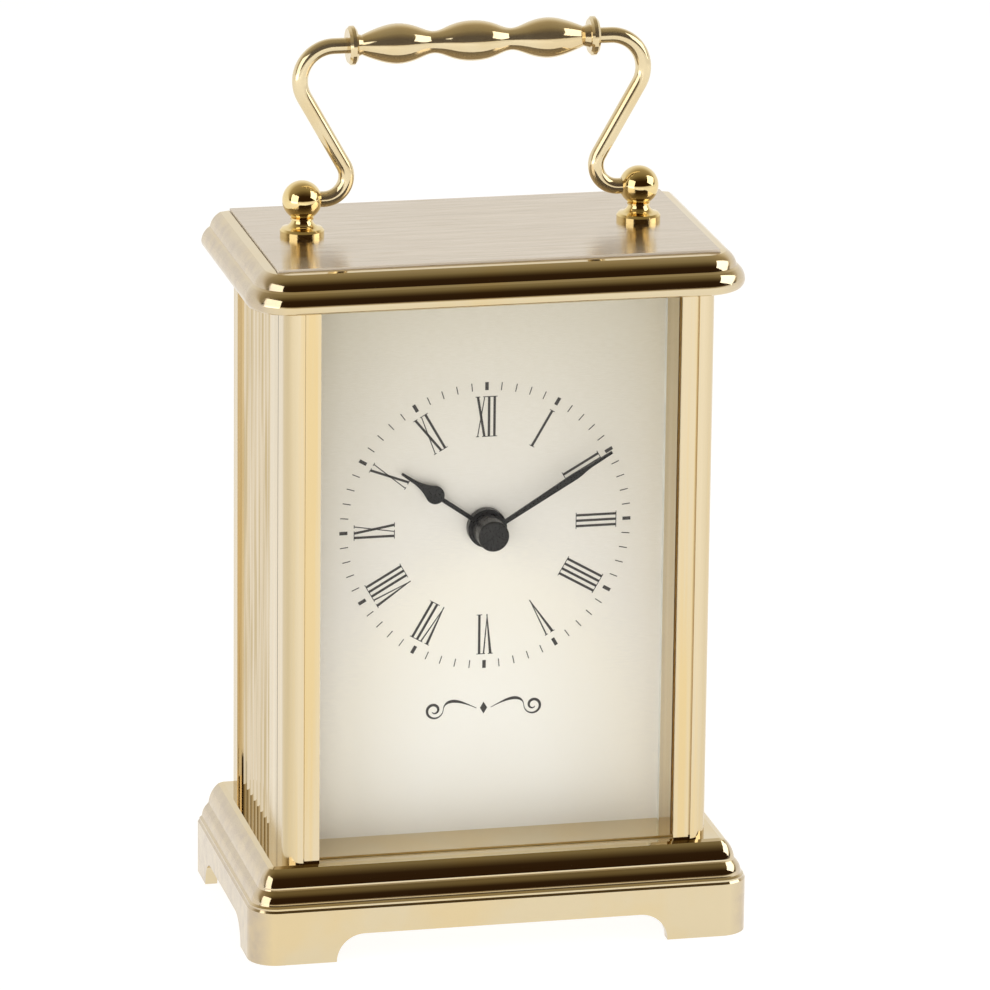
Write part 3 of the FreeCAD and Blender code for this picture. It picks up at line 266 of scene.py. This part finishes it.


def satin_dial():
    """Silvered satin dial: fine grain across, with a painted pool of light below the middle and painted
    shade, warmer and darker, towards the edges.
    """
    finish = Finish("dial_satin", (0.86, 0.84, 0.80), 0.12, 0.42, IOR=1.5)
    low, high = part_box("dial_plate")
    mapping = finish.node("ShaderNodeMapping")
    painted_light_centre = (low + high) / 2 - Vector((0, 0, PAINTED_LIGHT_BELOW_MIDDLE))
    mapping.inputs["Location"].default_value = [-at * by for at, by in zip(painted_light_centre, PAINTED_LIGHT_SPREAD)]
    mapping.inputs["Scale"].default_value = PAINTED_LIGHT_SPREAD
    finish.link(finish.place, mapping.inputs["Vector"])
    distance = finish.node("ShaderNodeVectorMath", operation="LENGTH")
    finish.link(mapping.outputs["Vector"], distance.inputs[0])
    painted_edge_shade = finish.spread(distance.outputs["Value"], 0, 1, 8 * MM, 50 * MM)
    grain = finish.noise(0.16 * MM, 3, (0.12, 1, 1))
    mixed = finish.total(painted_edge_shade, finish.spread(grain, -0.05, 0.05))
    # painted light, palest below the middle, running out to painted shade at the edges, warmed there as a
    # painted reflection of the gilt
    finish.colours(
        mixed,
        (0.0, (0.97, 0.94, 0.885)), (0.26, (0.92, 0.87, 0.78)), (0.38, (0.84, 0.80, 0.745)),
        (0.9, (0.63, 0.58, 0.475)),
    )
    finish.rough(grain, 0.38, 0.48)
    finish.bump(grain, 0.0012 * MM)
    return finish


def printed_ink():
    finish = Finish("dial_ink", (0.035, 0.03, 0.027), 0.0, 0.38)
    speckle = finish.noise(0.12 * MM, 3)
    finish.colours(speckle, (0.35, (0.028, 0.024, 0.021)), (0.65, (0.05, 0.043, 0.038)))
    finish.rough(speckle, 0.32, 0.46)
    finish.bump(speckle, 0.001 * MM)
    return finish


def black_enamel():
    finish = Finish("hand_enamel", (0.01, 0.009, 0.008), 0.0, 0.3, Specular_IOR_Level=0.3)
    skin = finish.noise(0.35 * MM, 3)
    finish.colours(finish.noise(3 * MM, 2), (0.35, (0.008, 0.007, 0.006)), (0.65, (0.014, 0.012, 0.011)))
    finish.rough(skin, 0.22, 0.38)
    finish.bump(skin, 0.0015 * MM)
    return finish


def pane():
    """Clear glass pane: a Fresnel reflection on its outer skins, and cut edges painted amber, a painted
    reflection of the gilt around them.
    """
    # the amber on the cut edges is a painted reflection of the gilt groove around the pane
    finish = Finish("clear_pane", (0.67, 0.55, 0.34), 0.0, 0.02)
    finish.colours(finish.noise(5 * MM, 2), (0.35, (0.80, 0.62, 0.34)), (0.65, (0.90, 0.72, 0.42)))
    finish.rough(finish.noise(3 * MM, 3), 0.01, 0.03)
    clear = finish.node("ShaderNodeBsdfTransparent")
    clear.inputs["Color"].default_value = (0.985, 0.99, 0.985, 1)
    mirror = finish.node("ShaderNodeBsdfGlossy")
    mirror.inputs["Roughness"].default_value = 0.0
    fresnel = finish.node("ShaderNodeFresnel")
    fresnel.inputs["IOR"].default_value = 1.3
    inside = finish.node("ShaderNodeNewGeometry").outputs["Backfacing"]
    outside = finish.spread(inside, 1, 0, 0, 1)
    shine = finish.product(fresnel.outputs[0], outside)
    face = finish.blend(shine, clear.outputs[0], mirror.outputs[0])
    depthwise = finish.size_of(finish.facing("Y", "True Normal"))
    cut_edge_painted_gilt = finish.spread(depthwise, 1, 0, 0.45, 0.55)
    whole = finish.blend(cut_edge_painted_gilt, face, finish.shader.outputs[0])
    finish.link(whole, finish.output.inputs["Surface"])
    return finish


TURN_PITCH = 0.6 * MM


def winding():
    finish = Finish("copper_turns", (0.55, 0.20, 0.07), 0.85, 0.3)
    turns = finish.node("ShaderNodeTexWave", wave_type="BANDS", bands_direction="Z")
    turns.inputs["Scale"].default_value = 1 / (2 * TURN_PITCH)
    finish.link(finish.place, turns.inputs["Vector"])
    # darker in the grooves between the turns, where the bump sinks: painted shade
    finish.colours(turns.outputs["Fac"], (0.1, (0.30, 0.09, 0.03)), (0.8, (0.62, 0.25, 0.09)))
    finish.bump(turns.outputs["Fac"], 0.03 * MM)
    return finish


def battery_jacket():
    """Plain two-tone jacket: dark along the cell, with a pale band near one end."""
    finish = Finish("cell_jacket", (0.04, 0.05, 0.06), 0.3, 0.28)
    low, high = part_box("battery")
    along = finish.node("ShaderNodeSeparateXYZ")
    finish.link(finish.place, along.inputs[0])
    axis = max(range(3), key=lambda i: high[i] - low[i])
    span = finish.spread(along.outputs[axis], 0, 1, low[axis], high[axis])
    finish.colours(
        span,
        (0.0, (0.55, 0.56, 0.57)), (0.03, (0.04, 0.05, 0.06)), (0.72, (0.04, 0.05, 0.06)),
        (0.73, (0.60, 0.45, 0.16)), (0.96, (0.60, 0.45, 0.16)), (1.0, (0.55, 0.56, 0.57)),
    )
    finish.rough(finish.noise(1.5 * MM, 3), 0.22, 0.34)
    finish.bump(finish.noise(0.5 * MM, 2), 0.001 * MM)
    return finish


def circuit_green():
    finish = Finish("solder_mask", (0.02, 0.13, 0.05), 0.0, 0.32)
    cells = finish.node("ShaderNodeTexVoronoi", feature="DISTANCE_TO_EDGE")
    cells.inputs["Scale"].default_value = 1 / (2.2 * MM)
    finish.link(finish.place, cells.inputs["Vector"])
    finish.colours(cells.outputs["Distance"], (0.04, (0.03, 0.20, 0.08)), (0.10, (0.015, 0.10, 0.04)))
    finish.rough(finish.noise(0.8 * MM, 2), 0.26, 0.4)
    finish.bump(cells.outputs["Distance"], 0.02 * MM)
    return finish


ALONG_Z = (1, 1, 0.02)          # noise stretched into upright streaks
polished = worn_and_shaded_flanks(gilt("gilt_polished", (GOLD, RICH_GOLD), 0.09, patch=14 * MM), WORN_SHADED_GOLD)
pillar_gilt = worn_and_shaded_flanks(
    gilt("gilt_rolled", (COOL_GOLD, WARM_GOLD), 0.1, patch=1.8 * MM, grain=ALONG_Z), RUBBED_SHADED_GOLD, ALONG_Z
)
post_gilt = gilt("gilt_turned", (YELLOW_GOLD, shade(YELLOW_GOLD, 0.94)), 0.08)
handle_gilt = gilt("gilt_drawn", ((0.75, 0.63, 0.40), RICH_GOLD), 0.12, 0.89)
side_gilt = gilt("gilt_sides", (PALE_GOLD, SHADED_GOLD), 0.1, patch=0.7 * MM, grain=ALONG_Z)
top_brush = sheared_edges(brushed("gilt_brushed_top", (0.71, 0.62, 0.50), (0.03, 1, 1), 0.2, "Y"))
door_brush = brushed("gilt_brushed_door", (0.78, 0.67, 0.50), (1, 1, 0.03), 0.22, "X")
zinc = plated("zinc_plate", (0.62, 0.63, 0.64), 0.3)
iron = plated("ground_iron", (0.22, 0.22, 0.23), 0.45)
black = plastic("black_moulding", (0.022, 0.022, 0.023), 0.5)
white = plastic("white_moulding", (0.80, 0.79, 0.74), 0.5)
acetal = plastic("natural_acetal", (0.78, 0.76, 0.68), 0.35, Subsurface_Weight=0.05)

FINISHES = {
    polished: ("base_moulding", "cornice", "centre_bush"),
    pillar_gilt: (
        "pillar_front_left", "pillar_front_right", "pillar_back_left", "pillar_back_right",
    ),
    post_gilt: ("post_left", "post_right", "door_knob"),
    handle_gilt: ("handle_arm_left", "handle_arm_right", "handle_grip"),
    side_gilt: ("side_panel_left", "side_panel_right"),
    top_brush: ("top_plate",),
    door_brush: ("back_door",),
    pane(): ("front_glass",),
    satin_dial(): ("dial_plate",),
    white: ("dial_spacer_left", "dial_spacer_right"),
    zinc: (
        "movement_plate", "door_pins", "post_nuts", "base_screws", "cornice_screws",
        "movement_screws", "train_pillars", "quartz_crystal",
        "battery_contact_positive", "battery_contact_negative",
    ),
    iron: ("rotor_magnet", "stator"),
    black: ("door_catch", "setting_knob", "movement_case", "movement_cover", "timing_chip"),
    acetal: (
        "centre_wheel", "third_wheel", "second_wheel", "intermediate_wheel", "rotor_pinion",
        "cannon_pinion", "motion_wheel", "hour_wheel", "train_plate",
    ),
    winding(): ("coil",),
    circuit_green(): ("circuit_board",),
    battery_jacket(): ("battery",),
    black_enamel(): ("hour_hand", "minute_hand", "hand_cap"),
}
for finish, names in FINISHES.items():
    for name in names:
        for slot in nodes[name].material_slots:
            slot.material = finish.material


# ---------------------------------------------------------------- dial printing
dial_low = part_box("dial_plate")[0]
cap_low, cap_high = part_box("hand_cap")
DIAL_CENTRE = Vector(((cap_low.x + cap_high.x) / 2, dial_low.y, (cap_low.z + cap_high.z) / 2))
INK_THICK = 0.03 * MM
INK_LIFT = 0.002 * MM           # keeps the ink's back off the dial's face


class Print:
    """Flat inked shapes on the dial, drawn in millimetres right of and above the dial's centre."""

    def __init__(self, name):
        self.name, self.points, self.faces = name, [], []

    def shape(self, outline):
        """One closed shape, given anticlockwise as the dial is seen, extruded as a thin solid."""
        start, count = len(self.points), len(outline)
        front = dial_low.y - INK_LIFT - INK_THICK
        for depth in (front, front + INK_THICK):
            for right, above in outline:
                self.points.append((DIAL_CENTRE.x + right * MM, depth, DIAL_CENTRE.z + above * MM))
        self.faces.append([start + i for i in range(count)])
        self.faces.append([start + count + i for i in reversed(range(count))])
        for i in range(count):
            after = (i + 1) % count
            self.faces.append([start + i, start + count + i, start + count + after, start + after])

    def stroke(self, path, half_widths):
        """A pen stroke of varying width along a path, as one closed thin solid."""
        start, count = len(self.points), len(path)
        front = dial_low.y - INK_LIFT - INK_THICK
        for index, (right, above) in enumerate(path):
            before, after = path[max(index - 1, 0)], path[min(index + 1, count - 1)]
            run, rise = after[0] - before[0], after[1] - before[1]
            half = half_widths[index] / math.hypot(run, rise)
            for side, depth in ((1, front), (-1, front), (-1, front + INK_THICK), (1, front + INK_THICK)):
                x, z = right - side * rise * half, above + side * run * half
                self.points.append((DIAL_CENTRE.x + x * MM, depth, DIAL_CENTRE.z + z * MM))
        for index in range(count - 1):
            ring = start + 4 * index
            for corner in range(4):
                beside = (corner + 1) % 4
                self.faces.append([ring + corner, ring + beside, ring + 4 + beside, ring + 4 + corner])
        self.faces.append([start + 3, start + 2, start + 1, start])
        last = start + 4 * (count - 1)
        self.faces.append([last, last + 1, last + 2, last + 3])

    def placed(self, outline, angle, radius=0.0):
        """An outline drawn upright, moved out by radius and turned clockwise from twelve."""
        turn = math.radians(angle)
        self.shape([
            (
                right * math.cos(turn) + (above + radius) * math.sin(turn),
                (above + radius) * math.cos(turn) - right * math.sin(turn),
            )
            for right, above in outline
        ])

    def finish(self, material):
        mesh = bpy.data.meshes.new(self.name)
        mesh.from_pydata(self.points, [], self.faces)
        mesh.update()
        mesh.materials.append(material)
        piece = bpy.data.objects.new(self.name, mesh)
        scene.collection.objects.link(piece)
        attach(piece, "case")
        return piece


def bar(x, low, high, width):
    return [(x - width / 2, low), (x + width / 2, low), (x + width / 2, high), (x - width / 2, high)]


def slanted(x_low, x_high, low, high, width_low, width_high):
    return [
        (x_low - width_low / 2, low), (x_low + width_low / 2, low),
        (x_high + width_high / 2, high), (x_high - width_high / 2, high),
    ]


RADIUS = 25.5                   # middle of the minute track
TICK = 1.45
NUMERAL_LOW, NUMERAL_HIGH = 16.3, 23.65
THICK, THIN, SERIF = 0.44, 0.15, 0.13
STEP = 0.99                     # from one upright stroke to the next
LETTER_HALF = 0.62              # from the middle of a V or an X to its strokes' ends
ORNAMENT_HEIGHT = -33.6
DIAMOND = ((0, -1.1), (0.65, 0), (0, 1.1), (-0.65, 0))


def serif(x, at_top, half=0.42):
    """The fine cross line at a stroke's end."""
    edge = NUMERAL_HIGH - SERIF if at_top else NUMERAL_LOW
    return [(x - half, edge), (x + half, edge), (x + half, edge + SERIF), (x - half, edge + SERIF)]


def letter_i(x):
    return [bar(x, NUMERAL_LOW, NUMERAL_HIGH, THICK), serif(x, True, 0.5), serif(x, False, 0.5)]


def letter_v(x):
    half = LETTER_HALF
    return [
        slanted(x + 0.08, x - half, NUMERAL_LOW, NUMERAL_HIGH, 0.16, THICK + 0.06),
        slanted(x, x + half, NUMERAL_LOW, NUMERAL_HIGH, 0.14, 0.27),
        serif(x - half, True, 0.45), serif(x + half, True, 0.3),
    ]


def letter_x(x):
    half = LETTER_HALF
    return [
        slanted(x + half, x - half, NUMERAL_LOW, NUMERAL_HIGH, THICK, THICK),
        slanted(x - half, x + half, NUMERAL_LOW, NUMERAL_HIGH, THIN + 0.03, THIN + 0.03),
        serif(x - half, True, 0.42), serif(x + half, True, 0.3),
        serif(x - half, False, 0.28), serif(x + half, False, 0.42),
    ]


LETTERS = {"I": (letter_i, STEP / 2), "V": (letter_v, 0.92), "X": (letter_x, 0.92)}
NUMERALS = ("XII", "I", "II", "III", "IIII", "V", "VI", "VII", "VIII", "IX", "X", "XI")


def numeral(text):
    """The shapes of one Roman numeral, centred on its own middle line."""
    width = sum(2 * LETTERS[letter][1] for letter in text)
    x, shapes = -width / 2, []
    for letter in text:
        draw, half = LETTERS[letter]
        shapes += draw(x + half)
        x += 2 * half
    return shapes


def scroll(flip):
    """One side of the flourish: a rising wave that runs into a closing curl, with its widths."""
    path, widths = [], []
    for index in range(19):
        along = index / 18
        path.append((1.3 + 6.0 * math.sin(math.pi / 2 * along), 1.5 * math.sin(math.pi * along)))
        widths.append(0.06 + 0.22 * math.sin(math.pi * along) ** 2)
    for index in range(1, 31):
        along = index / 30
        turn, reach = math.pi + math.radians(500) * along, 1.7 * (1 - 0.75 * along)
        path.append((9.0 + reach * math.cos(turn), reach * math.sin(turn)))
        widths.append(0.06 + 0.19 * math.sin(math.pi * along))
    return [(flip * x, ORNAMENT_HEIGHT + y) for x, y in path], widths


ink = printed_ink().material
numerals = Print("dial_numerals")
track = Print("dial_minute_track")
for minute in range(60):
    strong = minute % 5 == 0
    tick = bar(0, -TICK / 2, TICK / 2, 0.62 if strong else 0.17)
    track.placed(tick, minute * 6, RADIUS)
for hour, text in enumerate(NUMERALS):
    for outline in numeral(text):
        numerals.placed(outline, hour * 30)
ornament = Print("dial_ornament")
for flip in (1, -1):
    ornament.stroke(*scroll(flip))
ornament.shape([(x, ORNAMENT_HEIGHT + y) for x, y in DIAMOND])
track.finish(ink)
numerals.finish(ink)
ornament.finish(ink)


# ---------------------------------------------------------------- camera
CAMERA_PLACE = Vector((-279.8, -1232.5, 450.2)) * MM
YAW, PITCH, ROLL = (math.radians(angle) for angle in (-12.95, 16.48, 0.64))
LENS = 271.2

back = Vector((math.sin(YAW) * math.cos(PITCH), -math.cos(YAW) * math.cos(PITCH), math.sin(PITCH)))
level = Vector((math.cos(YAW), math.sin(YAW), 0))
upward = back.cross(level)
right = level * math.cos(ROLL) + upward * math.sin(ROLL)
above = upward * math.cos(ROLL) - level * math.sin(ROLL)
camera = bpy.data.objects.new("camera", bpy.data.cameras.new("camera"))
camera.data.lens = LENS
camera.data.sensor_width = 36
camera.data.clip_start, camera.data.clip_end = 0.01, 20
camera.matrix_world = Matrix.Translation(CAMERA_PLACE) @ Matrix((right, above, back)).transposed().to_4x4()
scene.collection.objects.link(camera)
scene.camera = camera


# ---------------------------------------------------------------- studio
def soft_light(name, centre, size, facing, power, roll=0):
    lamp = bpy.data.lights.new(name, "AREA")
    lamp.shape, lamp.size, lamp.size_y = "RECTANGLE", *size
    lamp.energy = power
    holder = bpy.data.objects.new(name, lamp)
    holder.location = centre
    holder.rotation_mode = "QUATERNION"
    aim = (Vector(facing) - Vector(centre)).to_track_quat("-Z", "Y")
    holder.rotation_quaternion = aim @ Quaternion((0, 0, 1), math.radians(roll))
    holder.visible_camera = False
    scene.collection.objects.link(holder)
    return holder


def direction(azimuth, elevation):
    """Unit vector towards a compass place: 0 is the front, 90 the clock's right."""
    turn, rise = math.radians(azimuth), math.radians(elevation)
    return Vector((math.sin(turn) * math.cos(rise), -math.cos(turn) * math.cos(rise), math.sin(rise)))


REACH = 6.0                     # from the clock to the floor's edges
FLOOR_GAP = 0.02 * MM           # keeps the floor off the undersides of the feet
FLOOR_GLOW = 0.87               # keeps the paper near white wherever the lamps don't reach
floor_mesh = bpy.data.meshes.new("floor")
floor_mesh.from_pydata(
    [(-REACH, -REACH, 0), (REACH, -REACH, 0), (REACH, REACH, 0), (-REACH, REACH, 0)], [], [(0, 1, 2, 3)]
)
floor = bpy.data.objects.new("floor", floor_mesh)
scene.collection.objects.link(floor)
floor.location.z = cad_low.z - FLOOR_GAP
paper = Finish("floor_paper", (0.3, 0.3, 0.3), 0.0, 0.9, Emission_Strength=FLOOR_GLOW)
paper.colours(paper.noise(60 * MM, 2), (0.3, (0.29, 0.29, 0.29)), (0.7, (0.31, 0.31, 0.31)))
floor_mesh.materials.append(paper.material)


SKY = (
    # degrees over the top from the front horizon to the back one, and the light seen there
    (1.5, (0.60, 0.50, 0.35)), (5, (0.030, 0.014, 0.005)), (36, (0.036, 0.019, 0.008)),
    (48, (0.09, 0.062, 0.028)), (60, (0.17, 0.13, 0.065)), (72, (0.27, 0.22, 0.12)),
    (90, (0.34, 0.28, 0.17)), (112, (0.44, 0.37, 0.24)), (126, (0.66, 0.59, 0.47)),
    (148, (0.96, 0.94, 0.90)),
)


def studio_sky():
    """Dark low in front, brighter over the top, and pale behind the clock, as in a product tent."""
    world = bpy.data.worlds.new("studio")
    world.use_nodes = True
    tree = world.node_tree
    glow = tree.nodes["Background"]
    place = tree.nodes.new("ShaderNodeTexCoord")
    parts = tree.nodes.new("ShaderNodeSeparateXYZ")
    tree.links.new(place.outputs["Generated"], parts.inputs[0])

    def calculated(operation, first, second):
        """One math step on two values, each a node's output or a number."""
        step = tree.nodes.new("ShaderNodeMath")
        step.operation = operation
        for value, socket in zip((first, second), step.inputs):
            if isinstance(value, (int, float)):
                socket.default_value = value
            else:
                tree.links.new(value, socket)
        return step.outputs[0]

    frontward = calculated("MULTIPLY", parts.outputs["Y"], -1)
    over_the_top = calculated("ARCTAN2", parts.outputs["Z"], frontward)
    turn = calculated("DIVIDE", over_the_top, math.pi)
    ramp = tree.nodes.new("ShaderNodeValToRGB")
    elements = ramp.color_ramp.elements
    elements[0].position, elements[-1].position = 0, 1
    elements[0].color, elements[-1].color = (1, 0.99, 0.97, 1), (1, 1, 1, 1)
    for angle, colour in SKY:
        elements.new(angle / 180).color = (*colour, 1)
    tree.links.new(turn, ramp.inputs["Fac"])
    path = tree.nodes.new("ShaderNodeLightPath")
    plain = tree.nodes.new("ShaderNodeBackground")
    plain.inputs["Color"].default_value = (1, 1, 1, 1)
    pick = tree.nodes.new("ShaderNodeMixShader")
    tree.links.new(ramp.outputs["Color"], glow.inputs["Color"])
    tree.links.new(path.outputs["Is Camera Ray"], pick.inputs[0])
    tree.links.new(glow.outputs[0], pick.inputs[1])
    tree.links.new(plain.outputs[0], pick.inputs[2])
    tree.links.new(pick.outputs[0], tree.nodes["World Output"].inputs["Surface"])
    return world


scene.world = studio_sky()
scene.view_settings.view_transform = "Standard"

TARGET = Vector((0, 0, 0.07))
soft_light("left_box", TARGET + direction(-59, 17) * 0.9, (0.66, 0.72), TARGET, 2.6)
soft_light("right_box", TARGET + direction(72, 27) * 0.9, (0.62, 0.62), TARGET, 2.6, 45)
front = soft_light("front_fill", TARGET + direction(-8, 3) * 1.1, (0.9, 0.6), TARGET, 6.4)
front.visible_glossy = False
